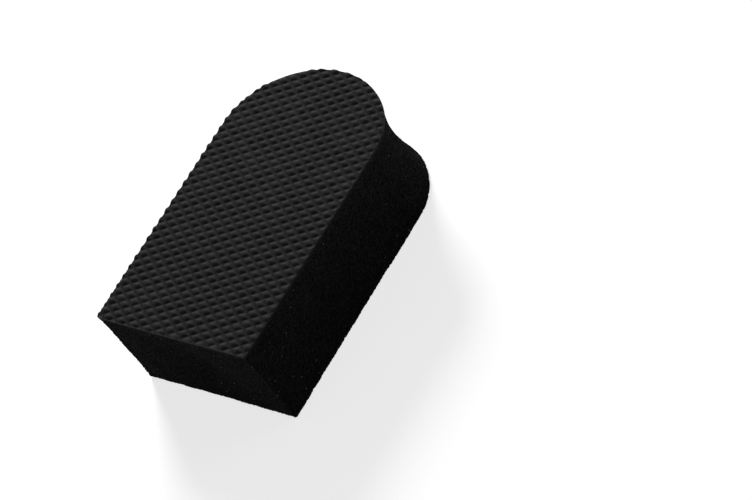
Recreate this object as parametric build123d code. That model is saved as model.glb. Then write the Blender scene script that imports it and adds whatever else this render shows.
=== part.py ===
from build123d import *
import math
import os

# Clay sponge for car paint: a block of soft foam, held in the hand, with a sheet of
# clay-filled rubber bonded to one face. It is a three-layer laminate with no moving
# parts. Seen from above it is a D: one square end and one rounded end.
#
# Frame: the block lies on its back, the plain foam face that the palm holds.
# Z = 0 is that face, +Z points out of the clay face, and +Y points to the rounded end.
# The origin is the middle of the footprint. All sizes are in millimetres.

# Outline, shared by all three layers
BLOCK_WIDTH = 65.0        # along X
BLOCK_LENGTH = 106.0      # along Y, from the square end to the crown of the rounded end
ROUND_END_DEPTH = 27.5    # how far the rounded end reaches beyond the straight sides
CORNER_RADIUS = 0.6       # upright corners of the square end

# Layers, from the back up
FOAM_THICKNESS = 33.5
FILM_THICKNESS = 0.2      # double-sided adhesive film
CLAY_WEB = 0.7            # solid clay under the grooves
DIAMOND_HEIGHT = 0.6      # clay diamonds above the web

# Foam block, cut while it is squeezed, so its sides spring back hollow and only the
# upright corners of the square end stay straight
WAIST_DEPTH = 2.4         # how far the sides draw in, halfway up
WAIST_SECTIONS = 5        # levels that the hollow side is lofted through
BACK_EDGE_RADIUS = 0.8    # softened rim of the back face

# Diamonds pressed into the clay, longer across the block than along it
DIAMOND_ACROSS = 5.9      # pitch along the width
DIAMOND_ALONG = 3.75      # pitch along the length
DIAMOND_TURN = -1.5       # degrees that the pattern lies askew to the block
GROOVE_FLOOR = 0.6        # flat bottom between two rows of diamonds
DIAMOND_LAND = 0.9        # flat left on top between two grooves
GROOVE_OVERCUT = 0.5      # how far the cutters stand above the clay

CLAY_THICKNESS = CLAY_WEB + DIAMOND_HEIGHT
FILM_LEVEL = FOAM_THICKNESS
CLAY_LEVEL = FILM_LEVEL + FILM_THICKNESS


def outline(waist):
    """D outline, with its sides drawn in by waist everywhere but at the square corners."""
    half_width = BLOCK_WIDTH / 2
    square_end = -BLOCK_LENGTH / 2
    shoulder = BLOCK_LENGTH / 2 - ROUND_END_DEPTH
    crown = EllipticalCenterArc(
        (0, shoulder), half_width - waist, ROUND_END_DEPTH - waist, arc_size=180
    )
    left_side = Line((waist - half_width, shoulder), (-half_width, square_end))
    if waist > 0:
        end = ThreePointArc(
            (-half_width, square_end), (0, square_end + waist), (half_width, square_end)
        )
    else:
        end = Line((-half_width, square_end), (half_width, square_end))
    right_side = Line((half_width, square_end), (half_width - waist, shoulder))
    face = make_face([crown, left_side, end, right_side])
    corners = face.vertices().group_by(Axis.Y)[0]
    return fillet(corners, CORNER_RADIUS)


def layer(level, thickness):
    """Flat sheet of the full outline."""
    return Pos(0, 0, level) * extrude(outline(0), thickness)


def waist_at(level):
    """How far the foam's sides are drawn in at a level: nothing at both faces."""
    from_middle = 2 * level / FOAM_THICKNESS - 1
    return WAIST_DEPTH * (1 - from_middle ** 2)


def make_foam_body():
    """Open-cell foam block with hollow sides and a softened back rim."""
    levels = [FOAM_THICKNESS * step / (WAIST_SECTIONS - 1) for step in range(WAIST_SECTIONS)]
    block = loft([Pos(0, 0, level) * outline(waist_at(level)) for level in levels])
    back_rim = block.faces().sort_by(Axis.Z)[0].edges()
    return fillet(back_rim, BACK_EDGE_RADIUS)


def groove_cutters(slope):
    """One family of parallel grooves, along the diamonds' sides that lean by slope."""
    side = math.hypot(DIAMOND_ACROSS / 2, DIAMOND_ALONG / 2)
    spacing = DIAMOND_ACROSS * DIAMOND_ALONG / (2 * side)
    bearing = slope * math.degrees(math.atan2(DIAMOND_ALONG, DIAMOND_ACROSS)) + DIAMOND_TURN
    reach = math.hypot(BLOCK_WIDTH, BLOCK_LENGTH) / 2 + spacing
    half_floor = GROOVE_FLOOR / 2
    half_top = (spacing - DIAMOND_LAND) / 2
    top = DIAMOND_HEIGHT + GROOVE_OVERCUT
    section = Plane.XZ * make_face(
        Polyline(
            (-half_floor, 0),
            (half_floor, 0),
            (half_top, DIAMOND_HEIGHT),
            (half_top, top),
            (-half_top, top),
            (-half_top, DIAMOND_HEIGHT),
            close=True,
        )
    )
    cutter = Pos(0, reach, 0) * extrude(section, 2 * reach)
    rows = int(reach / spacing)
    turned = Rot(0, 0, bearing - 90)
    floor_level = CLAY_LEVEL + CLAY_WEB
    return [
        Pos(0, 0, floor_level) * turned * Pos(row * spacing, 0, 0) * cutter
        for row in range(-rows, rows + 1)
    ]


def make_clay_face():
    """Clay rubber sheet with two crossing families of grooves that leave diamonds."""
    sheet = layer(CLAY_LEVEL, CLAY_THICKNESS)
    return sheet - (groove_cutters(1) + groove_cutters(-1))


os.makedirs("parts", exist_ok=True)
export_step(make_foam_body(), "parts/foam_body.step")
export_step(layer(FILM_LEVEL, FILM_THICKNESS), "parts/bond_film.step")
export_step(make_clay_face(), "parts/clay_face.step")
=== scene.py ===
import math

import bpy
import numpy as np
from mathutils import Matrix, Vector, noise


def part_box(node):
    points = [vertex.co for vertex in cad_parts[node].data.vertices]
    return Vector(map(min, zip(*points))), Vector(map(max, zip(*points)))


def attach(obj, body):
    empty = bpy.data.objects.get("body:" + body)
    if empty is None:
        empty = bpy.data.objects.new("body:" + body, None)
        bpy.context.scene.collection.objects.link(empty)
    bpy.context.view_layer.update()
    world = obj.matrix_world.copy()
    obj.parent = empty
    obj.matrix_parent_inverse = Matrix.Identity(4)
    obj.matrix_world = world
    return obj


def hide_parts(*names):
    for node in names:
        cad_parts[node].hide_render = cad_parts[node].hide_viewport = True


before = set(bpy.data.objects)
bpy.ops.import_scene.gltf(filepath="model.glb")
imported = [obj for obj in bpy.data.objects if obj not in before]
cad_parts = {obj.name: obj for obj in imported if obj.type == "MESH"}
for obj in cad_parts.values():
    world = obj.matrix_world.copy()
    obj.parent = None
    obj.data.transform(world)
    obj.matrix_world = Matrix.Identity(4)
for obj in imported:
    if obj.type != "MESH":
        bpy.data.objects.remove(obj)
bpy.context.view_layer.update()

# A clay sponge lying on its back: foam block, adhesive film and diamond-faced clay sheet.
# Metres, in the frame of the CAD: +Z out of the clay face, +Y to the rounded end.

MM = 0.001
SEED = 7

# Places that come from the frame
FOAM_HIGH = Vector(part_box("foam_body")[1])
CLAY_LOW, CLAY_HIGH = (Vector(corner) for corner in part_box("clay_face"))
HALF_WIDTH = CLAY_HIGH.x
SQUARE_END = CLAY_LOW.y
CROWN = CLAY_HIGH.y
THICKNESS = CLAY_HIGH.z

# The D outline
ROUND_END_DEPTH = 27.5 * MM
CORNER_RADIUS = 0.6 * MM
SHOULDER = CROWN - ROUND_END_DEPTH
LOOP_CORNER_POINTS = 12
LOOP_ROUND_POINTS = 400

# Diamonds on the clay
DIAMOND_ACROSS = 5.9 * MM
DIAMOND_ALONG = 3.75 * MM
DIAMOND_TURN = math.radians(-1.5)
DIAMOND_HEIGHT = 0.65 * MM
WEB_LEVEL = THICKNESS - DIAMOND_HEIGHT
GROOVE_SHARE = 0.08        # half the groove floor, as a share of a row of diamonds
DIAMOND_FULLNESS = 2.3     # above 1 the diamonds have steeper sides and a broader top
DIAMOND_SPREAD = 0.12      # how much diamonds differ in height
LOWEST_DIAMOND = 0.6       # share of the full height that no diamond falls below
DIAMOND_TABLE = 128        # diamonds each way before their heights repeat
CLAY_GRAIN = 0.05 * MM
CLAY_GRAIN_SIZE = 0.9 * MM
CLAY_GRAIN_SINK = 0.6      # lets the grain in, so that it hardly rises past full height
CLAY_STEP = 0.27 * MM
CLAY_CORNER_ROWS = 6
LAST_ROW_ANGLE = math.radians(88.5)    # round the rounded end, just short of the crown
ROUND_ROWS_PER_STEP = 1.25
WALL_DROP = 0.1 * MM       # from the web to the upper line of the cut side
CLAY_CREASE = 55           # degrees
SHADE_RISE = 0.25 * MM     # the clay's dark grooves reach this far above the web

# Foam block
WAIST_DEPTH = 2.6 * MM
CORNER_WAIST = 0.08        # share of the waist left at the square end's upright corners
CORNER_REACH = 20 * MM     # how far from a corner the waist is held back
BACK_ROUND = 0.9 * MM
BACK_ROUND_ROWS = 7
FOAM_STEP = 0.36 * MM
NO_CREASE = 180            # degrees
FOAM_CELL = 0.85 * MM      # the larger pores, modelled as pits
PIT_REACH = 0.62           # a pit's radius, as a share of a cell
PIT_DEPTH = 0.32 * MM
LUMP_SIZE = 6 * MM         # slow unevenness of the cut
LUMP_LEVEL = 0.25          # added to the noise, so that most of the surface dips a little
LUMP_DEPTH = 0.18 * MM
GLUE_MARGIN = 1.2 * MM     # the foam's surface settles over this height below the film
BACK_RINGS = 26


# Meshes ---------------------------------------------------------------------------

def mesh_piece(name, points, faces, crease_degrees):
    """A new piece from points and faces, smooth except across edges past the crease."""
    mesh = bpy.data.meshes.new(name)
    mesh.from_pydata([tuple(p) for p in points], [], faces)
    mesh.polygons.foreach_set("use_smooth", [True] * len(mesh.polygons))
    mesh.set_sharp_from_angle(angle=math.radians(crease_degrees))
    mesh.validate()
    piece = bpy.data.objects.new(name, mesh)
    bpy.context.scene.collection.objects.link(piece)
    return piece


def grid_faces(rows, columns, closed=False):
    """Quads between the points of a grid; closed joins the last column to the first."""
    faces = []
    for row in range(rows - 1):
        for column in range(columns if closed else columns - 1):
            after = (column + 1) % columns
            low = row * columns
            high = low + columns
            faces.append((low + column, low + after, high + after, high + column))
    return faces


def outline_loop(step):
    """Points round the D outline, evenly spaced, anticlockwise from the lower right."""
    right_angle = np.linspace(0, math.pi / 2, LOOP_CORNER_POINTS)
    inner_x, inner_y = HALF_WIDTH - CORNER_RADIUS, SQUARE_END + CORNER_RADIUS
    lower_right = np.column_stack([
        inner_x + CORNER_RADIUS * np.sin(right_angle),
        inner_y - CORNER_RADIUS * np.cos(right_angle),
    ])
    half_turn = np.linspace(0, math.pi, LOOP_ROUND_POINTS)
    round_end = np.column_stack([
        HALF_WIDTH * np.cos(half_turn),
        SHOULDER + ROUND_END_DEPTH * np.sin(half_turn),
    ])
    lower_left = lower_right[::-1] * (-1, 1)
    corners = np.vstack([lower_right, round_end, lower_left, lower_right[:1]])
    lengths = np.linalg.norm(np.diff(corners, axis=0), axis=1)
    travelled = np.concatenate([[0], np.cumsum(lengths)])
    count = int(travelled[-1] / step)
    stops = np.linspace(0, travelled[-1], count, endpoint=False)
    return np.column_stack([np.interp(stops, travelled, corners[:, axis]) for axis in (0, 1)])


def half_width_stations(step):
    """Rows across the D: (y, half width) from the square end to the crown."""
    corner = np.linspace(0, math.pi / 2, CLAY_CORNER_ROWS, endpoint=False)
    stations = [
        (SQUARE_END + CORNER_RADIUS * (1 - math.cos(a)),
         HALF_WIDTH - CORNER_RADIUS * (1 - math.sin(a)))
        for a in corner
    ]
    straight_start = SQUARE_END + CORNER_RADIUS
    straight_rows = int((SHOULDER - straight_start) / step)
    for y in np.linspace(straight_start, SHOULDER, straight_rows, endpoint=False):
        stations.append((y, HALF_WIDTH))
    round_rows = int(ROUND_ROWS_PER_STEP * ROUND_END_DEPTH / step)
    for a in np.linspace(0, LAST_ROW_ANGLE, round_rows):
        stations.append((SHOULDER + ROUND_END_DEPTH * math.sin(a), HALF_WIDTH * math.cos(a)))
    return stations


def diamond_height(x, y):
    """Height of the clay above its web at each point, from nothing to one diamond."""
    across = (x * math.cos(DIAMOND_TURN) + y * math.sin(DIAMOND_TURN)) / DIAMOND_ACROSS
    along = (y * math.cos(DIAMOND_TURN) - x * math.sin(DIAMOND_TURN)) / DIAMOND_ALONG
    height = np.ones_like(x)
    for rows in (across + along, across - along):
        from_groove = np.abs(rows - np.round(rows))
        climb = np.clip((from_groove - GROOVE_SHARE) / (0.5 - GROOVE_SHARE), 0, 1)
        height *= 1 - (1 - climb) ** DIAMOND_FULLNESS
    table = (DIAMOND_TABLE, DIAMOND_TABLE)
    varied = np.random.default_rng(SEED).normal(1 - DIAMOND_SPREAD, DIAMOND_SPREAD, table)
    cell_a = np.floor(across + along).astype(int) % DIAMOND_TABLE
    cell_b = np.floor(across - along).astype(int) % DIAMOND_TABLE
    return height * np.clip(varied[cell_a, cell_b], LOWEST_DIAMOND, 1.0)


def make_clay_face():
    """Clay sheet: rounded diamonds over a web, with die-cut sides."""
    stations = half_width_stations(CLAY_STEP)
    columns = int(2 * HALF_WIDTH / CLAY_STEP)
    share = np.linspace(-1, 1, columns)
    y = np.repeat([s[0] for s in stations], columns)
    x = np.outer([s[1] for s in stations], share).ravel()
    grain = np.array([noise.noise(Vector((a, b, 0)) / CLAY_GRAIN_SIZE) for a, b in zip(x, y)])
    lift = DIAMOND_HEIGHT * diamond_height(x, y) + CLAY_GRAIN * (grain - CLAY_GRAIN_SINK)
    top = np.column_stack([x, y, WEB_LEVEL + lift])

    rows = len(stations)
    last = (rows - 1) * columns
    rim = list(range(columns))
    rim += [row * columns + columns - 1 for row in range(1, rows)]
    rim += [last + column for column in range(columns - 2, -1, -1)]
    rim += [row * columns for row in range(rows - 2, 0, -1)]
    count = len(rim)
    wall_levels = (WEB_LEVEL - WALL_DROP, CLAY_LOW.z)
    walls = [np.column_stack([top[rim][:, :2], np.full(count, level)]) for level in wall_levels]
    points = np.vstack([top] + walls)

    faces = grid_faces(rows, columns)
    rings = [rim] + [[len(top) + k * count + i for i in range(count)] for k in range(len(walls))]
    for upper, lower in zip(rings, rings[1:]):
        for i in range(count):
            after = (i + 1) % count
            faces.append((lower[i], lower[after], upper[after], upper[i]))
    faces.append(tuple(reversed(rings[-1])))
    return mesh_piece("diamond_clay_sheet", points, faces, CLAY_CREASE)


def waist_share(loop):
    """How much of the waist each point of the outline takes: less at the square corners."""
    held = np.zeros(len(loop))
    for side in (-1, 1):
        corner = np.array([side * HALF_WIDTH, SQUARE_END])
        away = np.linalg.norm(loop - corner, axis=1)
        held = np.maximum(held, np.exp(-((away / CORNER_REACH) ** 2)))
    return 1 - (1 - CORNER_WAIST) * held


def drawn_in(loop, inset):
    """The outline drawn in towards the middle: by all of the inset where it is farthest out."""
    shrink = np.column_stack([1 - inset / HALF_WIDTH, 1 - inset / CROWN])
    return loop * shrink


def make_foam_block():
    """Foam block: hollow sides, soft back rim, pitted all over by its open cells."""
    loop = outline_loop(FOAM_STEP)
    share = waist_share(loop)
    count = len(loop)
    rings = []
    side_rows = int((FOAM_HIGH.z - BACK_ROUND) / FOAM_STEP)
    for level in np.linspace(FOAM_HIGH.z, BACK_ROUND, side_rows):
        hollow = 1 - (2 * level / FOAM_HIGH.z - 1) ** 2
        rings.append((drawn_in(loop, WAIST_DEPTH * hollow * share), level))
    rim_hollow = 1 - (2 * BACK_ROUND / FOAM_HIGH.z - 1) ** 2
    for a in np.linspace(0, math.pi / 2, BACK_ROUND_ROWS + 1)[1:]:
        rounding = BACK_ROUND * (1 - math.cos(a)) * np.ones(count)
        level = BACK_ROUND * (1 - math.sin(a))
        hollow = WAIST_DEPTH * rim_hollow * share * math.cos(a)
        rings.append((drawn_in(loop, rounding + hollow), level))
    back = rings[-1][0]
    for ring in range(1, BACK_RINGS + 1):
        rings.append((back * (1 - ring / (BACK_RINGS + 1)), 0.0))

    points = np.vstack([np.column_stack([flat, np.full(count, z)]) for flat, z in rings])
    faces = grid_faces(len(rings), count, closed=True)
    faces = [tuple(reversed(face)) for face in faces]
    faces.append(tuple(range(count)))
    faces.append(tuple(reversed(range(len(points) - count, len(points)))))
    piece = mesh_piece("foam_block", points, faces, NO_CREASE)
    pit_surface(piece)
    return piece


def pit_surface(piece):
    """Sinks the foam's open cells into the surface, and leaves the glued face flat."""
    mesh = piece.data
    normals = [vertex.normal.copy() for vertex in mesh.vertices]
    for vertex, normal in zip(mesh.vertices, normals):
        place = vertex.co.copy()
        to_nearest = noise.voronoi(place / FOAM_CELL)[0][0]
        pit = max(0.0, 1 - (to_nearest / PIT_REACH) ** 2)
        lump = max(0.0, noise.noise(place / LUMP_SIZE) + LUMP_LEVEL)
        below_glue = min(1.0, (FOAM_HIGH.z - place.z) / GLUE_MARGIN)
        depth = PIT_DEPTH * pit + LUMP_DEPTH * lump
        vertex.co = place - normal * depth * below_glue
        vertex.co.z = max(vertex.co.z, 0.0)


# Shader node groups ----------------------------------------------------------------

# Noise at or below the first is none of a patch, at or above the second all of it
CLOUD_FLOOR = 0.3
CLOUD_TOP = 0.7

# The foam cells, with painted shade in the pores
PORE_FLOOR = 0.2           # distances from a pore's middle, as shares of a cell
STRUT_TOP = 0.75
WIDE_CELL_SCALE = 0.45     # the slower unevenness, against the cells
UNEVEN_CELLS = 0.9         # how strongly that shows


def new_group(name, inputs, outputs):
    """An empty shader node group with named sockets, and its input and output nodes."""
    group = bpy.data.node_groups.new(name, "ShaderNodeTree")
    for label, kind, value in inputs:
        socket = group.interface.new_socket(label, in_out="INPUT", socket_type=kind)
        if value is not None:
            socket.default_value = value
    for label, kind in outputs:
        group.interface.new_socket(label, in_out="OUTPUT", socket_type=kind)
    return group, group.nodes.new("NodeGroupInput"), group.nodes.new("NodeGroupOutput")


def put(tree, kind, values=None, **properties):
    """Adds a node, sets its properties, and sets or links its inputs."""
    node = tree.nodes.new(kind)
    for name, value in properties.items():
        setattr(node, name, value)
    for name, value in (values or {}).items():
        if isinstance(value, bpy.types.NodeSocket):
            tree.links.new(value, node.inputs[name])
        else:
            node.inputs[name].default_value = value
    return node


def put_group(tree, group, values):
    """Places a node group with its own values."""
    return put(tree, "ShaderNodeGroup", values, node_tree=group)


def calculate(tree, operation, *operands):
    """The result of one calculation on values or sockets."""
    values = dict(enumerate(operands))
    return put(tree, "ShaderNodeMath", values, operation=operation).outputs[0]


def ranged(tree, value, low, high, new_low, new_high):
    """A value moved from one range to another, and held within it."""
    values = {"Value": value, "From Min": low, "From Max": high,
              "To Min": new_low, "To Max": new_high}
    return put(tree, "ShaderNodeMapRange", values).outputs[0]


def blended(tree, share, first, second):
    """Mixes two colours by a share."""
    node = put(tree, "ShaderNodeMix", data_type="RGBA")
    factor, colour_a, colour_b = node.inputs[0], node.inputs[6], node.inputs[7]
    for socket, value in ((factor, share), (colour_a, first), (colour_b, second)):
        if isinstance(value, bpy.types.NodeSocket):
            tree.links.new(value, socket)
        else:
            socket.default_value = value
    return node.outputs[2]


def make_mottle_group():
    """Cloudy variation in patches of a given size, 0 to 1."""
    group, given, out = new_group(
        "mottle",
        [("Vector", "NodeSocketVector", None), ("Patch Size", "NodeSocketFloat", 0.01)],
        [("Share", "NodeSocketFloat")],
    )
    scale = calculate(group, "DIVIDE", 1.0, given.outputs["Patch Size"])
    clouds = put(group, "ShaderNodeTexNoise",
                 {"Vector": given.outputs["Vector"], "Scale": scale, "Detail": 4.0})
    share = ranged(group, clouds.outputs[0], CLOUD_FLOOR, CLOUD_TOP, 0.0, 1.0)
    group.links.new(share, out.inputs["Share"])
    return group


def make_specks_group():
    """Sparse small round specks of dust, as a mask."""
    group, given, out = new_group(
        "dust_specks",
        [("Vector", "NodeSocketVector", None), ("Spacing", "NodeSocketFloat", 0.004),
         ("Radius Share", "NodeSocketFloat", 0.05), ("Kept Share", "NodeSocketFloat", 0.2)],
        [("Mask", "NodeSocketFloat")],
    )
    scale = calculate(group, "DIVIDE", 1.0, given.outputs["Spacing"])
    cells = put(group, "ShaderNodeTexVoronoi", {"Vector": given.outputs["Vector"], "Scale": scale})
    near = calculate(group, "LESS_THAN", cells.outputs["Distance"], given.outputs["Radius Share"])
    pick = put(group, "ShaderNodeSeparateColor", {"Color": cells.outputs["Color"]})
    kept = calculate(group, "LESS_THAN", pick.outputs[0], given.outputs["Kept Share"])
    mask = calculate(group, "MULTIPLY", near, kept)
    group.links.new(mask, out.inputs["Mask"])
    return group


def make_cells_group():
    """Open cells of foam: struts high and light, pores low and painted dark as their shade."""
    group, given, out = new_group(
        "foam_cells",
        [("Vector", "NodeSocketVector", None), ("Cell Size", "NodeSocketFloat", 0.0006)],
        [("Strut", "NodeSocketFloat"), ("Height", "NodeSocketFloat")],
    )
    place = given.outputs["Vector"]
    scale = calculate(group, "DIVIDE", 1.0, given.outputs["Cell Size"])
    pores = put(group, "ShaderNodeTexVoronoi", {"Vector": place, "Scale": scale})
    wide_scale = calculate(group, "MULTIPLY", scale, WIDE_CELL_SCALE)
    wide = put(group, "ShaderNodeTexNoise", {"Vector": place, "Scale": wide_scale, "Detail": 3.0})
    strut = ranged(group, pores.outputs["Distance"], PORE_FLOOR, STRUT_TOP, 0.0, 1.0)
    uneven = calculate(group, "MULTIPLY_ADD", wide.outputs[0], UNEVEN_CELLS, -UNEVEN_CELLS / 2)
    summed = put(group, "ShaderNodeMath", {0: strut, 1: uneven}, operation="ADD", use_clamp=True)
    height = calculate(group, "ADD", strut, uneven)
    group.links.new(summed.outputs[0], out.inputs["Strut"])
    group.links.new(height, out.inputs["Height"])
    return group


# Materials -------------------------------------------------------------------------

def new_material(name):
    """A material, its node tree and its Principled surface."""
    material = bpy.data.materials.new(name)
    material.use_nodes = True
    tree = material.node_tree
    return material, tree, tree.nodes["Principled BSDF"]


def place_on_piece(tree):
    """The object coordinates to paint by, in metres."""
    return tree.nodes.new("ShaderNodeTexCoord").outputs["Object"]


def feed(tree, surface, **sockets):
    """Sets or links the surface's sockets, named in lower case with underscores."""
    for name, value in sockets.items():
        socket = surface.inputs[name.replace("_", " ").title().replace("Ior", "IOR")]
        if isinstance(value, bpy.types.NodeSocket):
            tree.links.new(value, socket)
        else:
            socket.default_value = value


def make_foam_material(groups):
    """Black polyurethane foam: painted shade in the pores between duller struts, with stray dust.
    """
    material, tree, surface = new_material("black_foam")
    place = place_on_piece(tree)
    cells = put_group(tree, groups["cells"], {"Vector": place, "Cell Size": 0.62 * MM})
    patches = put_group(tree, groups["mottle"], {"Vector": place, "Patch Size": 9 * MM})
    specks = put_group(tree, groups["specks"], {"Vector": place, "Spacing": 2.6 * MM,
                                                "Radius Share": 0.11, "Kept Share": 0.35})
    strut = blended(tree, patches.outputs[0], (0.018, 0.018, 0.0185, 1), (0.025, 0.025, 0.029, 1))
    # Painted shade: the pores get a near-black colour for the shade inside them.
    foam = blended(tree, cells.outputs["Strut"], (0.0008, 0.0008, 0.0009, 1), strut)
    dusted = blended(tree, specks.outputs[0], foam, (0.17, 0.166, 0.16, 1))
    bump = put(tree, "ShaderNodeBump", {"Height": cells.outputs["Height"], "Strength": 0.7,
                                        "Distance": 0.3 * MM})
    feed(tree, surface, base_color=dusted, roughness=1.0, specular_ior_level=0.04,
         normal=bump.outputs[0])
    return material


def make_clay_material(groups):
    """Charcoal clay rubber: matte, mottled, dusty, with painted shade down in its grooves and on
    its cut sides.
    """
    material, tree, surface = new_material("charcoal_clay")
    place = place_on_piece(tree)
    patches = put_group(tree, groups["mottle"], {"Vector": place, "Patch Size": 12 * MM})
    grain = put_group(tree, groups["mottle"], {"Vector": place, "Patch Size": 0.25 * MM})
    specks = put_group(tree, groups["specks"], {"Vector": place, "Spacing": 4.5 * MM,
                                                "Radius Share": 0.035, "Kept Share": 0.1})
    clay = blended(tree, patches.outputs[0], (0.053, 0.053, 0.053, 1), (0.057, 0.057, 0.063, 1))
    grained = blended(tree, grain.outputs[0], (0.036, 0.036, 0.036, 1), clay)
    dusted = blended(tree, specks.outputs[0], grained, (0.12, 0.12, 0.12, 1))
    height = put(tree, "ShaderNodeSeparateXYZ", {"Vector": place}).outputs["Z"]
    # Painted shade: near black on the cut sides, fading out from the groove floors to SHADE_RISE
    # above the web.
    unshaded_share = ranged(tree, height, WEB_LEVEL - WALL_DROP, WEB_LEVEL + SHADE_RISE, 0.0, 1.0)
    shaded = blended(tree, unshaded_share, (0.012, 0.012, 0.012, 1), dusted)
    gloss = ranged(tree, grain.outputs[0], 0.0, 1.0, 0.62, 0.5)
    bump = put(tree, "ShaderNodeBump", {"Height": grain.outputs[0], "Strength": 0.25,
                                        "Distance": 0.05 * MM})
    feed(tree, surface, base_color=shaded, roughness=gloss, specular_ior_level=0.03,
         normal=bump.outputs[0])
    return material


def make_film_material(groups):
    """Cut edge of the smoke-grey adhesive film."""
    material, tree, surface = new_material("smoke_film")
    place = place_on_piece(tree)
    patches = put_group(tree, groups["mottle"], {"Vector": place, "Patch Size": 1.5 * MM})
    tint = blended(tree, patches.outputs[0], (0.008, 0.008, 0.009, 1), (0.014, 0.014, 0.015, 1))
    gloss = ranged(tree, patches.outputs[0], 0.0, 1.0, 0.7, 0.9)
    feed(tree, surface, base_color=tint, roughness=gloss, specular_ior_level=0.05)
    return material


def seen_directly(tree):
    """1 on rays from the camera, mirrored or passed through; 0 on light between matte surfaces."""
    rays = tree.nodes.new("ShaderNodeLightPath")
    seen = calculate(tree, "MAXIMUM", rays.outputs["Is Camera Ray"], rays.outputs["Is Glossy Ray"])
    return calculate(tree, "MAXIMUM", seen, rays.outputs["Is Transmission Ray"])


def make_floor_material():
    """Pale floor that keeps the shadow and reads as white where nothing shades it."""
    material, tree, surface = new_material("pale_floor")
    feed(tree, surface, base_color=(0.86, 0.86, 0.86, 1), roughness=0.9, specular_ior_level=0.2)
    glow = calculate(tree, "MULTIPLY", seen_directly(tree), FLOOR_GLOW)
    tree.links.new(glow, surface.inputs["Emission Strength"])
    surface.inputs["Emission Color"].default_value = (1, 1, 1, 1)
    return material


def finish_with(piece, material):
    """Gives a piece one material."""
    piece.data.materials.clear()
    piece.data.materials.append(material)


# Studio ------------------------------------------------------------------------------

CAMERA_AZIMUTH = math.radians(61.05)   # round from the square end towards +X
CAMERA_ELEVATION = math.radians(42.8)
CAMERA_ROLL = math.radians(37.6)
CAMERA_DISTANCE = 0.993
FOCAL_LENGTH_MM = 153.0
SENSOR_WIDTH_MM = 36.0
AIM_BESIDE = 0.0394                    # where the camera aims, from the block's middle
AIM_AHEAD = 0.0018

FLOOR_SIZE = 6.0
FLOOR_GLOW = 0.75
AMBIENT = 0.045

# name, direction from the block, distance, width, watts
LAMPS = (
    ("key_softbox", (-0.66, 0.57, 0.49), 1.3, 0.4, 10.4),
    ("front_fill", (-0.2, -0.9, 0.35), 1.5, 0.8, 0.6),
    ("crown_fill", (0.75, 0.65, 0.3), 1.5, 0.8, 1.5),
)


def looking(origin, target):
    """The turn that points a camera or lamp at a target."""
    return (target - origin).to_track_quat("-Z", "Y").to_matrix().to_4x4()


def make_camera():
    """A long lens from above the square end's right corner, rolled to one side."""
    aim = Vector((AIM_BESIDE, AIM_AHEAD, THICKNESS / 2))
    back = Vector((
        math.sin(CAMERA_AZIMUTH) * math.cos(CAMERA_ELEVATION),
        -math.cos(CAMERA_AZIMUTH) * math.cos(CAMERA_ELEVATION),
        math.sin(CAMERA_ELEVATION),
    ))
    data = bpy.data.cameras.new("camera")
    data.lens = FOCAL_LENGTH_MM
    data.sensor_width = SENSOR_WIDTH_MM
    camera = bpy.data.objects.new("camera", data)
    place = aim + back * CAMERA_DISTANCE
    roll = Matrix.Rotation(-CAMERA_ROLL, 4, "Z")
    camera.matrix_world = Matrix.Translation(place) @ looking(place, aim) @ roll
    bpy.context.scene.collection.objects.link(camera)
    bpy.context.scene.camera = camera


def make_lamps():
    """One strong low softbox across the clay, and two weak fills for the foam's sides."""
    middle = Vector((0, 0, THICKNESS / 2))
    for name, direction, distance, width, watts in LAMPS:
        data = bpy.data.lights.new(name, "AREA")
        data.shape = "DISK"
        data.size = width
        data.energy = watts
        lamp = bpy.data.objects.new(name, data)
        place = middle + Vector(direction).normalized() * distance
        lamp.matrix_world = Matrix.Translation(place) @ looking(place, middle)
        bpy.context.scene.collection.objects.link(lamp)


def make_world():
    """Even soft light; anything seen past the floor is white."""
    world = bpy.data.worlds.new("studio")
    bpy.context.scene.world = world
    world.use_nodes = True
    tree = world.node_tree
    level = ranged(tree, seen_directly(tree), 0.0, 1.0, AMBIENT, 1.0)
    background = tree.nodes["Background"]
    background.inputs["Color"].default_value = (1, 1, 1, 1)
    tree.links.new(level, background.inputs["Strength"])


def make_floor():
    """The surface that the sponge lies on; it isn't part of the object."""
    half = FLOOR_SIZE / 2
    corners = [(-half, -half, 0), (half, -half, 0), (half, half, 0), (-half, half, 0)]
    floor = mesh_piece("floor", corners, [(0, 1, 2, 3)], NO_CREASE)
    finish_with(floor, make_floor_material())


# Assembly ----------------------------------------------------------------------------

groups = {
    "mottle": make_mottle_group(),
    "specks": make_specks_group(),
    "cells": make_cells_group(),
}

foam = make_foam_block()
finish_with(foam, make_foam_material(groups))
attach(foam, "root")
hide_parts("foam_body")

clay = make_clay_face()
finish_with(clay, make_clay_material(groups))
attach(clay, "root")
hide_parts("clay_face")

film_material = make_film_material(groups)
for slot in bpy.data.objects["bond_film"].material_slots:
    slot.material = film_material

make_floor()
make_lamps()
make_world()
make_camera()
bpy.context.scene.view_settings.view_transform = "Standard"
